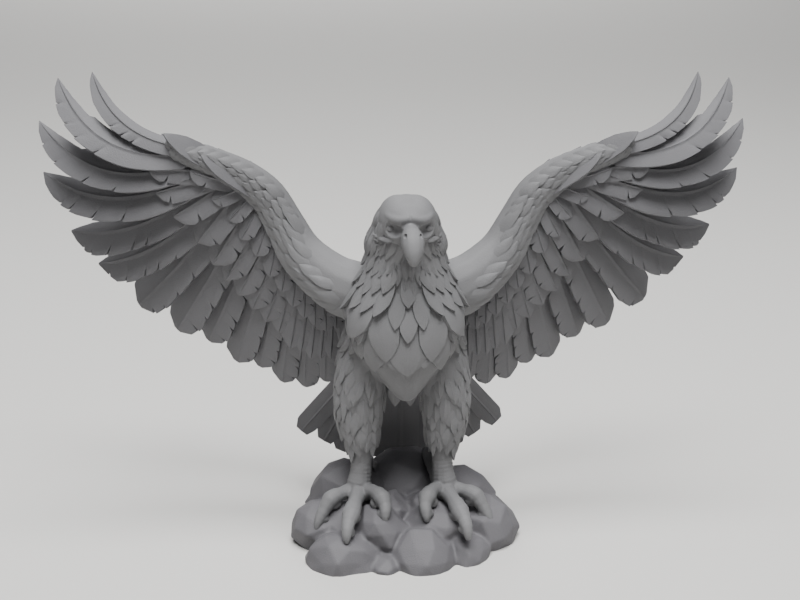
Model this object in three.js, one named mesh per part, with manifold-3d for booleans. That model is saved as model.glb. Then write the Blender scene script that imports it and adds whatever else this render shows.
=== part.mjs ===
// Statuette of an eagle landing on a rock with both wings raised and spread.
// One casting: rock, feet, legs, body, head, wings and tail are fused together.
// Millimetres, +Z up. The bird faces -Y. The rock's flat underside is centred on the origin.
import * as THREE from "three";
import { mergeVertices } from "three/addons/utils/BufferGeometryUtils.js";
import Module from "manifold-3d";

const wasm = await Module();
wasm.setup();

// ---- driving sizes ----

// rock: boulders as [x, y, z, half width, half depth, half height, turn]
const BOULDERS = [
  [-24, -23, 4, 18, 18, 12, 0.2],
  [9, -26, 4, 17, 16, 12, 1.1],
  [-7, -30, 1, 10, 10, 6, 0.4],
  [-6, -13, 9, 15, 14, 12, 2.0],
  [15, -13, 10, 15, 13, 11, 0.9],
  [-37, -2, 8, 14, 17, 12, 1.4],
  [37, -6, 8, 15, 17, 12, 0.3],
  [27, -23, 2, 14, 11, 9, 1.9],
  [-24, 14, 11, 20, 17, 15, 0.6],
  [27, 12, 10, 20, 17, 15, 2.6],
  [2, 17, 15, 23, 18, 16, 1.2],
  [-20, 30, 3, 20, 14, 12, 0.8],
  [17, 31, 3, 22, 14, 12, 0.5],
  [0, 3, 0, 24, 20, 14, 0.7],
];
const BOULDER_ROUGHNESS = 0.07;
const ROCK_SINK = 30;

// rings as [x, y, z, half width, half depth]: torso from belly to throat, rump to tail root
const TORSO = [
  [0, -10, 66, 7, 9],
  [0, -8, 73, 15, 17],
  [0, -5, 84, 21, 23],
  [0, -4, 95, 23, 24.5],
  [0, -3, 105, 22.5, 22],
  [0, -4, 115, 18.5, 17.5],
  [0, -6, 125, 14.5, 14],
  [0, -9, 137, 12, 12],
];
const RUMP = [
  [0, 0, 96, 18, 16],
  [0, 14, 86, 16, 13],
  [0, 25, 76, 12, 9],
  [0, 31, 68, 9, 5],
];

// collars of pointed feathers as [z of roots, of notches, of tips, count, lift of the tips]
const HACKLES = [
  [146, 137, 127, 10, 3],
  [139, 127, 116, 11, 3.2],
  [130, 117, 105, 11, 3.6],
];
const CHEST = [
  [119, 103, 94, 9, 2],
  [106, 91, 81, 8, 2.6],
  [94, 79, 68, 7, 3.2],
];
const UNDERTAIL = { root: [0, 0, 74], tip: [0, 4, 63], spread: 9, count: 4, width: 8, height: 5 };

// head: skull and cheeks as [x, y, z, half width, half depth, half height], the rest in rings
const SKULL = [0, -11, 142.5, 11.5, 15, 11];
const CHEEKS = [0, -7, 133, 15.5, 12.5, 12];
const BROW = [
  [2.5, -27.5, 147.2, 2, 1.5],
  [7.5, -23, 149, 2.4, 1.8],
  [10.6, -14, 149, 1.6, 1.4],
];
const BEAK = [
  [0, -22, 142.5, 6, 6],
  [0, -31, 143.6, 4.6, 4.6],
  [0, -38, 141, 3.6, 4],
  [0, -42, 136.5, 2.2, 2.2],
  [0, -41, 132.6, 0.7, 0.7],
];
const JAW = [
  [0, -20, 137, 5.4, 3],
  [0, -30, 136, 3.6, 2.4],
  [0, -36.5, 135.4, 1.8, 1.2],
];

// leg rings from hip to foot, and its collars of feathers
const LEG = [
  [13, 2, 90, 10, 14],
  [17, 0, 76, 9.4, 12.6],
  [18.5, -1, 64, 8.2, 10],
  [18, -2, 52, 6.6, 7.5],
  [17.3, -3, 42, 5.2, 5.6],
  [17.4, -3.5, 34, 4.8, 5],
  [18.3, -4.5, 27, 5.6, 5.8],
  [18.5, -5, 18, 5, 5],
];
const THIGH = [
  [82, 70, 62, 7, 2.4],
  [70, 59, 51, 7, 2.8],
  [59, 49, 41, 6, 3.2],
];
// toes from the ball of the foot to the claw tip as [x, y, z, half width, half height]
const TOES = {
  outer: [[20, -5, 22, 4, 4.4], [28.5, -9, 22.6, 3.4, 3.4], [34.5, -12, 20.5, 3.4, 3.6],
    [37.3, -15, 15.5, 2.3, 2.5], [36.8, -18, 8, 0.8, 0.8]],
  middle: [[18.5, -7, 22, 4.4, 4.6], [21.3, -15, 21.8, 3.5, 3.6], [24.2, -24, 19.2, 3.6, 3.6],
    [25.8, -30.5, 14.2, 2.4, 2.6], [25.6, -35.5, 7, 0.8, 0.8]],
  inner: [[16.5, -7, 22, 4, 4.4], [12.2, -12.5, 24, 3.4, 3.4], [8.8, -17.5, 22.2, 3.4, 3.5],
    [8.2, -22, 17.6, 2.3, 2.5], [9.2, -24.5, 12, 0.8, 0.8]],
  hind: [[17.5, -3, 22, 4, 4.4], [16, 6, 25.5, 3.4, 3.4], [14.5, 13, 28.5, 3.4, 3.2],
    [13.6, 18.5, 29, 2.4, 2.4], [13.2, 22, 24, 0.8, 0.8]],
};

// wing, made on the +X side and mirrored; the arm in rings [x, y, z, half depth, half height]
const ARM = [
  [14, 3, 108, 10, 14],
  [30, 6, 114.5, 9.5, 12],
  [41.5, 11, 124.5, 8, 9.5],
  [48.5, 14, 137, 7, 8],
  [55.5, 15, 149, 6, 7.5],
  [65.5, 14, 157.5, 5.4, 7],
  [78, 12, 164, 4.2, 6],
  [90, 10.5, 169, 3, 4.6],
  [98, 10, 172.5, 1.8, 3],
];
const FLIGHT_COUNT = 15;
const FLIGHT_ROOTS = [[90, 10, 169.5], [85, 12, 166], [77, 14, 161], [68, 15, 154],
  [57, 15, 142], [49, 14, 127], [38, 12, 115], [27, 9, 110]];
const FLIGHT_TIPS = [[126.5, 25, 198.5], [141, 27, 196], [150, 33, 177], [150, 35, 155],
  [140, 36, 129], [129, 36, 114], [115.5, 35, 102], [100, 35, 92], [84, 34, 80], [72, 33, 71],
  [61.5, 31, 68], [51, 29, 60.5], [41, 25, 58.5], [32, 19, 63.5], [24, 15, 66]];
const FLIGHT_WIDTHS = [10, 14, 16.5, 16.5, 15.5, 14.5, 13.5, 12];
const FLIGHT_THICK = 2.4;
const FLIGHT_TILT = 0.17;
const FLIGHT_BOW = [5.5, 0.4];

// rows of flat feathers on the flights: `from` and `to` count along the flights from the
// tip inwards, `share` is how far down them the row reaches, `layer` its distance in front
const COVERT_THICK = 3;
const COVERTS = [
  { count: 4, from: 0.2, to: 0.42, share: [0.35, 0.42], layer: 2.4, width: 15 },
  { count: 7, from: 0.5, to: 1, share: [0.46, 0.66], layer: 2.4, width: 15 },
  { count: 6, from: 0.18, to: 1, share: [0.24, 0.4], layer: 4.4, width: 18 },
  { count: 4, from: 0.28, to: 0.96, share: [0.4, 0.62], layer: -2, width: 26 },
];
// feathers down the front of the arm: `across` runs -1 at its upper edge to 1 below
const ARM_ROW = { count: 7, from: 0.08, to: 0.76, across: [-0.55, 1], lift: 2, drift: 0.08,
  width: 16, height: 4 };
const WRIST_PLATES = [
  { root: [64, 16, 163], tip: [101, 11, 175], width: 9, thick: 5.5 },
  { root: [53, 18, 154], tip: [78, 18, 168.5], width: 9, thick: 7 },
  { root: [43, 18, 139], tip: [60, 20, 160], width: 10, thick: 7 },
];

const TAIL = { count: 9, root: [0, 24, 78], width: 16.5, thick: 2.4, stack: 1,
  spread: [9, 43], tipBack: [50, 56], tipHeight: [33, 18] };

// ---- shapes ----

const point = (p) => new THREE.Vector3(p[0], p[1], p[2]);
const times = (count, make) => Array.from({ length: count }, (_, k) => make(k));

// A closed three.js geometry as a solid, turned right side out.
function solid(geometry) {
  geometry.deleteAttribute("normal");
  geometry.deleteAttribute("uv");
  const welded = mergeVertices(geometry, 1e-4);
  const places = welded.attributes.position.array;
  const corner = (i) => new THREE.Vector3().fromArray(places, i * 3);
  const faces = [];
  let volume = 0;
  for (let i = 0; i < welded.index.count; i += 3) {
    const [a, b, c] = [0, 1, 2].map((k) => welded.index.getX(i + k));
    if (a !== b && b !== c && c !== a) {
      faces.push([a, b, c]);
      volume += corner(a).dot(corner(b).cross(corner(c)));
    }
  }
  const outward = volume < 0 ? faces.map(([a, b, c]) => [a, c, b]) : faces;
  return new wasm.Manifold(new wasm.Mesh({
    numProp: 3,
    vertProperties: new Float32Array(places),
    triVerts: new Uint32Array(outward.flat()),
  }));
}

const join = (parts) => wasm.Manifold.union(parts);

// An even line through given points, read at 0 to 1.
function line(points) {
  const curve = new THREE.CatmullRomCurve3(points.map(point), false, "catmullrom", 0.5);
  return (t) => curve.getPoint(Math.min(1, Math.max(0, t)));
}

// Where a ringed limb runs, which way, and how thick it is, at a share of its length.
function run(rings) {
  const path = new THREE.CatmullRomCurve3(rings.map(point));
  const girth = new THREE.CatmullRomCurve3(rings.map((r) => point([r[3], r[4], 0])));
  return { at: (t) => path.getPoint(t), along: (t) => path.getTangent(t),
    size: (t) => girth.getPoint(t) };
}

// A limb with an oval section; `across` is the way its first half size runs.
function limb(rings, across, sides, steps) {
  const course = run(rings);
  const geometry = new THREE.CylinderGeometry(1, 1, 1, sides, steps);
  const ring = geometry.attributes.position;
  for (let i = 0; i < ring.count; i += 1) {
    const t = Math.min(1, Math.max(0, ring.getY(i) + 0.5));
    const along = course.along(t);
    const wide = point(across).projectOnPlane(along).normalize();
    const deep = new THREE.Vector3().crossVectors(along, wide);
    const size = course.size(t);
    const place = course.at(t)
      .addScaledVector(wide, ring.getX(i) * size.x)
      .addScaledVector(deep, ring.getZ(i) * size.y);
    ring.setXYZ(i, place.x, place.y, place.z);
  }
  return solid(geometry);
}

// An oval lump.
function lump([x, y, z, wide, deep, high], sides, steps) {
  const geometry = new THREE.SphereGeometry(1, sides, steps);
  geometry.rotateX(Math.PI / 2).scale(wide, deep, high).translate(x, y, z);
  return solid(geometry);
}

// A flat feather from root to tip. Its two edges are [along, share of half width] lists;
// `bow` bends the shaft towards the trailing side, `tilt` brings the trailing edge forward.
function feather({ root, tip, width, thick, bow = 0, tilt = 0, edges }) {
  const shaft = tip.clone().sub(root);
  const length = shaft.length();
  shaft.normalize();
  const face = point([0, -1, 0]).projectOnPlane(shaft).normalize();
  const trailing = new THREE.Vector3().crossVectors(shaft, face);
  face.applyAxisAngle(shaft, -tilt);
  trailing.applyAxisAngle(shaft, -tilt);
  const edge = (list, side) => list.map(([u, share]) => (
    new THREE.Vector2(u * length, 4 * bow * u * (1 - u) + side * share * width / 2)));
  const outline = [...edge(edges.trailing, 1), ...edge(edges.leading, -1).reverse()];
  const geometry = new THREE.ExtrudeGeometry(
    new THREE.Shape(outline), { depth: thick, bevelEnabled: false });
  geometry.translate(0, 0, -thick / 2);
  const basis = new THREE.Matrix4().makeBasis(shaft, trailing, face);
  geometry.applyMatrix4(basis.setPosition(root));
  return solid(geometry);
}

// A small pointed feather with a raised shaft, lying on a surface that faces `out`.
function scale({ root, tip, out, width, height }) {
  const shaft = tip.clone().sub(root);
  const across = new THREE.Vector3().crossVectors(shaft, out).normalize();
  const up = new THREE.Vector3().crossVectors(across, shaft).normalize();
  const geometry = new THREE.OctahedronGeometry(1, 0);
  const corners = geometry.attributes.position;
  const WIDEST = 0.42;
  for (let i = 0; i < corners.count; i += 1) {
    const x = corners.getX(i);
    const place = root.clone()
      .addScaledVector(shaft, Math.abs(x) > 0.5 ? (x + 1) / 2 : WIDEST)
      .addScaledVector(across, corners.getY(i) * width / 2)
      .addScaledVector(up, corners.getZ(i) * height / 2);
    corners.setXYZ(i, place.x, place.y, place.z);
  }
  return solid(geometry);
}

// The outside of a ringed limb at a height; angle 0 faces -Y, `lift` stands off from it.
function skin(rings, z, angle, lift) {
  const order = [...rings].sort((a, b) => a[2] - b[2]);
  const above = order.findIndex((ring) => ring[2] >= z);
  const upper = above < 0 ? order.length - 1 : Math.max(1, above);
  const [a, b] = [order[upper - 1], order[upper]];
  const t = Math.min(1.5, Math.max(-0.5, (z - a[2]) / (b[2] - a[2])));
  const at = (k) => a[k] + (b[k] - a[k]) * t;
  const wide = Math.max(2, at(3)) + lift;
  const deep = Math.max(2, at(4)) + lift;
  return point([at(0) + wide * Math.sin(angle), at(1) - deep * Math.cos(angle), z]);
}

// A collar of pointed feathers round a ringed limb: the tips hang low and stand out.
function collar(rings, [rootZ, notchZ, tipZ, count, lift], turn) {
  const geometry = new THREE.CylinderGeometry(1, 1, 1, 2 * count, 1);
  const ring = geometry.attributes.position;
  for (let i = 0; i < ring.count; i += 1) {
    const [x, y, z] = [ring.getX(i), ring.getY(i), ring.getZ(i)];
    const step = Math.round(Math.atan2(x, z) * count / Math.PI);
    const angle = (step + turn) * Math.PI / count;
    const middle = Math.hypot(x, z) < 0.5;
    const height = y > 0 || middle ? rootZ : (step % 2 === 0 ? tipZ : notchZ);
    const off = y > 0 ? -1.2 : (step % 2 === 0 ? lift : 0.2 * lift);
    const place = skin(rings, height, angle, off);
    if (middle) {
      const opposite = skin(rings, rootZ, angle + Math.PI, off);
      place.lerp(opposite, 0.5).setZ(y > 0 ? rootZ : (rootZ + notchZ) / 2);
    }
    ring.setXYZ(i, place.x, place.y, place.z);
  }
  return solid(geometry);
}

const FINGER = {
  trailing: [[0, 0.5], [0.35, 0.95], [0.7, 0.95], [0.88, 0.6], [1, 0.06]],
  leading: [[0, 0.5], [0.35, 0.9], [0.75, 0.8]],
};
const BLADE = {
  trailing: [[0, 0.5], [0.5, 0.95], [0.82, 1.05], [0.95, 0.5]],
  leading: [[0, 0.5], [0.85, 0.85], [1, 0.15]],
};
const VANE = {
  trailing: [[0, 0.5], [0.5, 1], [0.93, 0.95]],
  leading: [[0, 0.5], [0.5, 1], [0.93, 0.85], [1, 0.3]],
};
const PLATE = {
  trailing: [[0, 0.7], [0.84, 1]],
  leading: [[0, 0.7], [0.8, 1], [1, 0.12]],
};

// ---- rock ----

function boulder([x, y, z, wide, deep, high, turn]) {
  const geometry = new THREE.SphereGeometry(1, 7, 4);
  const corners = geometry.attributes.position;
  for (let i = 0; i < corners.count; i += 1) {
    const p = point([corners.getX(i), corners.getY(i), corners.getZ(i)]);
    const bump = Math.sin(3.1 * p.x + 5 * turn) + Math.sin(3.7 * p.y + 3 * turn);
    p.multiplyScalar(1 + BOULDER_ROUGHNESS * bump);
    corners.setXYZ(i, p.x, p.y, p.z);
  }
  geometry.rotateX(turn).rotateZ(turn).scale(wide, deep, high).translate(x, y, z);
  return solid(geometry);
}

function rock() {
  const below = new THREE.BoxGeometry(300, 300, ROCK_SINK);
  below.translate(0, 0, -ROCK_SINK / 2);
  return join(BOULDERS.map(boulder)).subtract(solid(below));
}

// ---- body and head ----

function body() {
  const rump = limb(RUMP, [1, 0, 0], 8, 3);
  const collars = [...CHEST, ...HACKLES].map((row, k) => collar(TORSO, row, k % 2));
  const hanging = times(UNDERTAIL.count, (k) => {
    const x = UNDERTAIL.spread * (2 * k / (UNDERTAIL.count - 1) - 1);
    const root = point(UNDERTAIL.root).setX(x * 0.6);
    return scale({ ...UNDERTAIL, root, tip: point(UNDERTAIL.tip).setX(x), out: point([0, -1, 0]) });
  });
  return join([rump, ...collars, ...hanging]);
}

function head() {
  const beak = limb(BEAK, [1, 0, 0], 6, 5);
  const jaw = limb(JAW, [1, 0, 0], 5, 2);
  return join([lump(SKULL, 9, 5), lump(CHEEKS, 8, 5), beak, jaw]);
}

// ---- one leg ----

function leg() {
  const shank = limb(LEG, [1, 0, 0], 8, 6);
  const toes = Object.values(TOES).map((rings) => limb(rings, [1, 0, 0.01], 5, 4));
  const collars = THIGH.map((row, k) => collar(LEG, row, k % 2));
  return join([shank, ...toes, ...collars]);
}

// ---- one wing ----

const flightRoot = line(FLIGHT_ROOTS);
const flightTip = line(FLIGHT_TIPS);
const flightWidth = line(FLIGHT_WIDTHS.map((w) => [w, 0, 0]));

// The outermost flights are slim fingers, the next are cut aslant, the rest are rounded.
const flightEdges = (k) => (k < 2 ? FINGER : (k < 7 ? BLADE : VANE));

function flight(k) {
  const t = k / (FLIGHT_COUNT - 1);
  const bow = FLIGHT_BOW[0] + (FLIGHT_BOW[1] - FLIGHT_BOW[0]) * Math.min(1, 1.4 * t);
  return feather({
    root: flightRoot(t),
    tip: flightTip(t),
    width: flightWidth(t).x,
    thick: FLIGHT_THICK,
    bow,
    tilt: FLIGHT_TILT,
    edges: flightEdges(k),
  });
}

function covertRow({ count, from, to, share, layer, width }) {
  return times(count, (k) => {
    const along = k / (count - 1);
    const t = from + (to - from) * along;
    const reach = share[0] + (share[1] - share[0]) * along;
    const root = flightRoot(t);
    const tip = root.clone().lerp(flightTip(t), reach);
    tip.y -= layer;
    return feather({ root, tip, width, thick: COVERT_THICK, tilt: FLIGHT_TILT, edges: PLATE });
  });
}

// The front of the arm, at a share of its length and a share of the way across it.
function armFront(t, across) {
  const course = run(ARM);
  const size = course.size(t);
  const along = course.along(t);
  const trailing = point([along.z, 0, -along.x]).normalize();
  const bulge = size.x * Math.sqrt(Math.max(0, 1 - across * across / 1.8));
  return course.at(t).addScaledVector(trailing, across * size.y).sub(point([0, bulge, 0]));
}

function armFeather(k) {
  const { count, from, to, across, lift, drift, width, height } = ARM_ROW;
  const t = from + (to - from) * k / (count - 1);
  const root = armFront(t, across[0]);
  const tip = armFront(t + drift, across[1]);
  root.y += 1;
  tip.y -= lift;
  return scale({ root, tip, out: point([0, -1, 0]), width, height });
}

function wing() {
  const arm = limb(ARM, [0, 1, 0], 7, 8);
  const plates = WRIST_PLATES.map(({ root, tip, width, thick }) => (
    feather({ root: point(root), tip: point(tip), width, thick, edges: PLATE })));
  return join([arm, ...times(FLIGHT_COUNT, flight), ...COVERTS.flatMap(covertRow),
    ...times(ARM_ROW.count, armFeather), ...plates]);
}

// ---- tail ----

function tail() {
  return join(times(TAIL.count, (k) => {
    const side = 2 * k / (TAIL.count - 1) - 1;
    const mix = ([outer, inner]) => inner + (outer - inner) * side * side;
    const stack = TAIL.stack * (k % 2);
    const root = point(TAIL.root).add(point([side * TAIL.spread[0], stack, 0]));
    const tip = point([side * TAIL.spread[1], mix(TAIL.tipBack) + stack, mix(TAIL.tipHeight)]);
    return feather({ root, tip, width: TAIL.width, thick: TAIL.thick, tilt: 0.1 * side, edges: VANE });
  }));
}

// ---- the statuette ----

const brow = limb(BROW, [0, 0, 1], 5, 2);
const side = join([leg(), wing(), brow]);
const joined = join([rock(), body(), head(), tail(), side, side.mirror([1, 0, 0])]);
// Pockets shut in between overlapping feathers are solid in the casting: keep the outer shell.
const shells = joined.decompose().sort((a, b) => b.volume() - a.volume());
const { vertProperties, triVerts } = shells[0].getMesh();

const geometry = new THREE.BufferGeometry();
geometry.setAttribute("position", new THREE.BufferAttribute(vertProperties, 3));
geometry.setIndex(new THREE.BufferAttribute(triVerts, 1));
geometry.computeVertexNormals();

const resin = new THREE.MeshStandardMaterial({
  color: new THREE.Color(0.45, 0.45, 0.47),
  roughness: 0.75,
  metalness: 0,
});

const statuette = new THREE.Mesh(geometry, resin);
statuette.name = "eagle_on_rock";

const group = new THREE.Group();
group.name = "eagle_statuette";
group.add(statuette);

export default group;
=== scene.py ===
from math import cos, pi, radians, sin
from random import Random

import bmesh
import bpy
from mathutils import Matrix, Vector
from mathutils.bvhtree import BVHTree


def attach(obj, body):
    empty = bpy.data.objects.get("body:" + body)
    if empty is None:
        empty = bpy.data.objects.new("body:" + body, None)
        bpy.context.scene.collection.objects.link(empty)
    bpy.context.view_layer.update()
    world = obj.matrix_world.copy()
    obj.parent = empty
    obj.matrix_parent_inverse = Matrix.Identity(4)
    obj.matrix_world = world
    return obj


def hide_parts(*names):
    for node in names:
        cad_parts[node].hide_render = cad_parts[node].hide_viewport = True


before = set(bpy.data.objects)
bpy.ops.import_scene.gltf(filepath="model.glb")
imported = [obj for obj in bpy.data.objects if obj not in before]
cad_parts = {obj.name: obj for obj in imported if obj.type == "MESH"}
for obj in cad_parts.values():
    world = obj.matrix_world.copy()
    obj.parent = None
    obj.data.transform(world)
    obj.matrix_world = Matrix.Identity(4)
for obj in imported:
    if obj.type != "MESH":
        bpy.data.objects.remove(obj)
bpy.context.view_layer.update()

# ---- Rock mound ----
# A low heap of soft-faceted boulders, printed in the same matt grey resin as the bird.
# It is one lump with deep creases between the stones and a flat underside to stand on.
MM = 0.001
# boulders as x, y, z, half width, half depth, half height (mm) and a turn in radians
BOULDERS = (
    (3, 20, 13, 19, 21, 17.8, 1.2), (-22, 14, 12, 17, 16, 17, 0.6), (27, 12, 10, 16, 17, 15.5, 2.6),
    (-34.5, -5, 6, 13.6, 15.4, 12.6, 1.4), (36, -5, 6, 14.5, 17, 13, 0.3),
    (-26, -26, 0.5, 16.5, 15.5, 12.5, 0.2), (7, -27.5, 0.5, 14.5, 14.5, 14, 1.1),
    (-9, -32, 0, 7, 9, 5, 0.4), (26, -23.5, 1, 10.5, 11, 8.6, 1.9),
    (-10, -18, 9, 11, 12.5, 12, 2.0), (14, -14, 9, 14.5, 14, 10.5, 0.9), (-6, -5, 10, 13, 12, 11, 0.5),
    (11, -4, 10, 12, 12, 10.5, 2.2), (-23, -9, 8, 15, 14, 11, 0.8), (-20, 30, 3, 20, 13, 12, 0.8),
    (17, 31, 3, 21, 13, 12, 0.5), (0, 3, 0, 24, 20, 14, 0.7),
)
KNOCKS = 0.2
CUT_BLOCK = 200
ROCK_TONE, ROCK_GRAIN = (0.114, 0.111, 0.119), 0.25
# the resin's cloudy patches and its grain, in mm
CLOUD_SIZE, GRAIN_SIZE = 28, 0.55


def mm(*place):
    return Vector(place) * MM


def alone(piece):
    """Select one piece and nothing else."""
    if bpy.context.object and bpy.context.object.mode != "OBJECT":
        bpy.ops.object.mode_set(mode="OBJECT")
    bpy.ops.object.select_all(action="DESELECT")
    piece.select_set(True)
    bpy.context.view_layer.objects.active = piece
    return piece


def finish_with(piece, kind, **settings):
    """Add a modifier with these settings and apply it."""
    alone(piece)
    modifier = piece.modifiers.new(kind.lower(), kind)
    for setting, value in settings.items():
        setattr(modifier, setting, value)
    bpy.ops.object.modifier_apply(modifier=modifier.name)


def joined(pieces, name):
    """Join several pieces into one object."""
    alone(pieces[0])
    for piece in pieces:
        piece.select_set(True)
    bpy.ops.object.join()
    whole = bpy.context.object
    whole.name = whole.data.name = name
    return whole


def moulded(piece, grain, passes):
    """Melt overlapping lumps into one skin and soften it."""
    finish_with(piece, "REMESH", mode="VOXEL", voxel_size=grain * MM)
    finish_with(piece, "SMOOTH", factor=0.5, iterations=passes)


def resin_finish():
    """Matt resin: cloudy tone, fine grain and a dry bloom, for any grey part."""
    group = bpy.data.node_groups.new("resin_finish", "ShaderNodeTree")
    socket = group.interface.new_socket
    socket("Tone", in_out="INPUT", socket_type="NodeSocketColor")
    socket("Grain height", in_out="INPUT", socket_type="NodeSocketFloat")
    socket("Color", in_out="OUTPUT", socket_type="NodeSocketColor")
    socket("Roughness", in_out="OUTPUT", socket_type="NodeSocketFloat")
    socket("Normal", in_out="OUTPUT", socket_type="NodeSocketVector")
    node, link = group.nodes.new, group.links.new
    given, put = node("NodeGroupInput"), node("NodeGroupOutput")
    place = node("ShaderNodeTexCoord")

    def noise(size, detail):
        cloud = node("ShaderNodeTexNoise")
        cloud.inputs["Scale"].default_value = 1 / (size * MM)
        cloud.inputs["Detail"].default_value = detail
        link(place.outputs["Object"], cloud.inputs["Vector"])
        return cloud

    def ranged(cloud, low, high):
        """The middle of a noise's range spread over a low and a high value."""
        spread = node("ShaderNodeMapRange")
        spread.inputs["From Min"].default_value, spread.inputs["From Max"].default_value = 0.3, 0.7
        spread.inputs["To Min"].default_value, spread.inputs["To Max"].default_value = low, high
        link(cloud.outputs["Fac"], spread.inputs["Value"])
        return spread

    clouds, grain = noise(CLOUD_SIZE, 3), noise(GRAIN_SIZE, 3)
    shade, speck = ranged(clouds, 0.93, 1.06), ranged(grain, 0.97, 1.03)
    both = node("ShaderNodeMath")
    both.operation = "MULTIPLY"
    link(shade.outputs["Result"], both.inputs[0])
    link(speck.outputs["Result"], both.inputs[1])
    tint = node("ShaderNodeVectorMath")
    tint.operation = "SCALE"
    link(given.outputs["Tone"], tint.inputs[0])
    link(both.outputs[0], tint.inputs["Scale"])
    link(tint.outputs[0], put.inputs["Color"])
    link(ranged(clouds, 0.58, 0.7).outputs["Result"], put.inputs["Roughness"])
    bump = node("ShaderNodeBump")
    bump.inputs["Distance"].default_value = MM
    link(given.outputs["Grain height"], bump.inputs["Strength"])
    link(grain.outputs["Fac"], bump.inputs["Height"])
    link(bump.outputs["Normal"], put.inputs["Normal"])
    return group


def resin(name, tone, grain):
    """A matt resin material of one tone."""
    material = bpy.data.materials.new(name)
    material.use_nodes = True
    nodes, link = material.node_tree.nodes, material.node_tree.links.new
    shader = nodes["Principled BSDF"]
    shader.inputs["Specular IOR Level"].default_value = 0.35
    finish = nodes.new("ShaderNodeGroup")
    finish.node_tree = bpy.data.node_groups.get("resin_finish") or resin_finish()
    finish.inputs["Tone"].default_value = (*tone, 1)
    finish.inputs["Grain height"].default_value = grain
    link(finish.outputs["Color"], shader.inputs["Base Color"])
    link(finish.outputs["Roughness"], shader.inputs["Roughness"])
    link(finish.outputs["Normal"], shader.inputs["Normal"])
    return material


def hand_over(piece, name, material, crease):
    """Name a finished piece, give it its material, and tie it to the frame."""
    alone(piece)
    piece.name = piece.data.name = name
    bpy.ops.object.shade_smooth_by_angle(angle=radians(crease))
    piece.data.materials.clear()
    piece.data.materials.append(material)
    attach(piece, "root")
    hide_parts("eagle_on_rock")


def boulder(seed, x, y, z, wide, deep, high, turn):
    """A round stone knocked into flat facets."""
    bpy.ops.mesh.primitive_ico_sphere_add(subdivisions=2, radius=MM)
    stone = bpy.context.object
    bpy.ops.object.mode_set(mode="EDIT")
    bpy.ops.mesh.select_all(action="SELECT")
    bpy.ops.transform.vertex_random(offset=KNOCKS * MM, seed=seed)
    bpy.ops.transform.rotate(value=2 * turn, orient_axis="X", center_override=(0, 0, 0))
    bpy.ops.transform.rotate(value=turn, orient_axis="Z", center_override=(0, 0, 0))
    bpy.ops.transform.resize(value=(wide, deep, high), center_override=(0, 0, 0))
    bpy.ops.transform.translate(value=mm(x, y, z))
    bpy.ops.object.mode_set(mode="OBJECT")
    return stone


def cut_flat(piece):
    """Cut off what hangs below the table."""
    bpy.ops.mesh.primitive_cube_add(size=CUT_BLOCK * MM, location=mm(0, 0, -CUT_BLOCK / 2))
    below = bpy.context.object
    finish_with(piece, "BOOLEAN", object=below, operation="DIFFERENCE", solver="MANIFOLD")
    bpy.data.meshes.remove(below.data)


bpy.ops.object.select_all(action="DESELECT")
rock = joined([boulder(k + 1, *sizes) for k, sizes in enumerate(BOULDERS)], "rock")
moulded(rock, 0.7, 3)
cut_flat(rock)
hand_over(rock, "rock_mound", resin("rock_resin", ROCK_TONE, ROCK_GRAIN), 40)

# ---- Bird's plain form ----
# The smooth shape under the feathers: trunk, neck, rump, thighs, shanks and the arms of
# the raised wings, melted together as one casting. It bears all the carved feathers.
# trunk and rump in level rings as x, y, z, half width, half depth
TRUNK = (
    (0, -15.2, 67.6, 2.5, 5.5), (0, -12, 73, 8, 12), (0, -9, 80, 13.5, 16.5), (0, -7, 85, 18, 19.5),
    (0, -5, 91, 22, 22), (0, -4, 98, 24.2, 23.5), (0, -3.4, 106, 24, 22.5), (0, -4, 115, 19.5, 18.5),
    (0, -6, 125, 15, 14.5), (0, -8, 134, 13, 12.5), (0, -9, 142, 10, 11),
)
RUMP = ((0, 0, 98, 17, 15), (0, 14, 87, 16, 13), (0, 25, 77, 12, 9), (0, 31, 69, 8, 5))
# rods as x, y, z, radius along their middle
THIGH = (
    (13, 2, 92, 11), (16.4, 0.8, 78, 11.4), (18, -0.6, 67, 10.6), (18.4, -1.4, 57, 9.4),
    (18, -2.2, 49, 7.6), (17.4, -3, 42, 5.2), (17.4, -3.5, 35, 4.6),
)
SHANK = (
    (17.4, -3, 44, 4.8), (17.4, -3.5, 37, 4.4), (17.8, -4, 30.5, 4.7), (18.5, -5, 25, 5.4),
    (18.6, -5.5, 19, 4.8),
)
TOES = (
    ((20, -5, 23, 4.3), (25.6, -8.5, 23.2, 3.0), (30.6, -11.6, 22.2, 3.7), (33.4, -13.8, 18.8, 2.9),
     (35.4, -15.4, 15.6, 2.5), (36.6, -16.6, 13, 1.9), (37.2, -17.4, 10.2, 1.0)),
    ((18.6, -7, 23, 4.5), (20.6, -15, 22.4, 3.2), (22.8, -23, 20.6, 3.9), (24.2, -27.5, 18.6, 3.0),
     (24.9, -30.4, 16.8, 2.6), (25.3, -32.2, 14.2, 2.0), (25.4, -32.8, 11.4, 1.1)),
    ((16.5, -7, 23, 4.3), (12.6, -12, 25, 3.0), (9.8, -17.2, 24.6, 3.8), (8.6, -20.2, 22.6, 2.9),
     (8.5, -22.4, 20.8, 2.5), (8.8, -23.6, 18.2, 1.9), (9.2, -23.8, 15.8, 1.0)),
    ((17.5, -3, 22.5, 4.3), (16, 6, 25.8, 3.4), (14.5, 13, 29.4, 3.6), (13.6, 18.5, 30.4, 2.6),
     (13.3, 21.6, 27.6, 1.8), (13.2, 23, 24.4, 1.0)),
)
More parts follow.
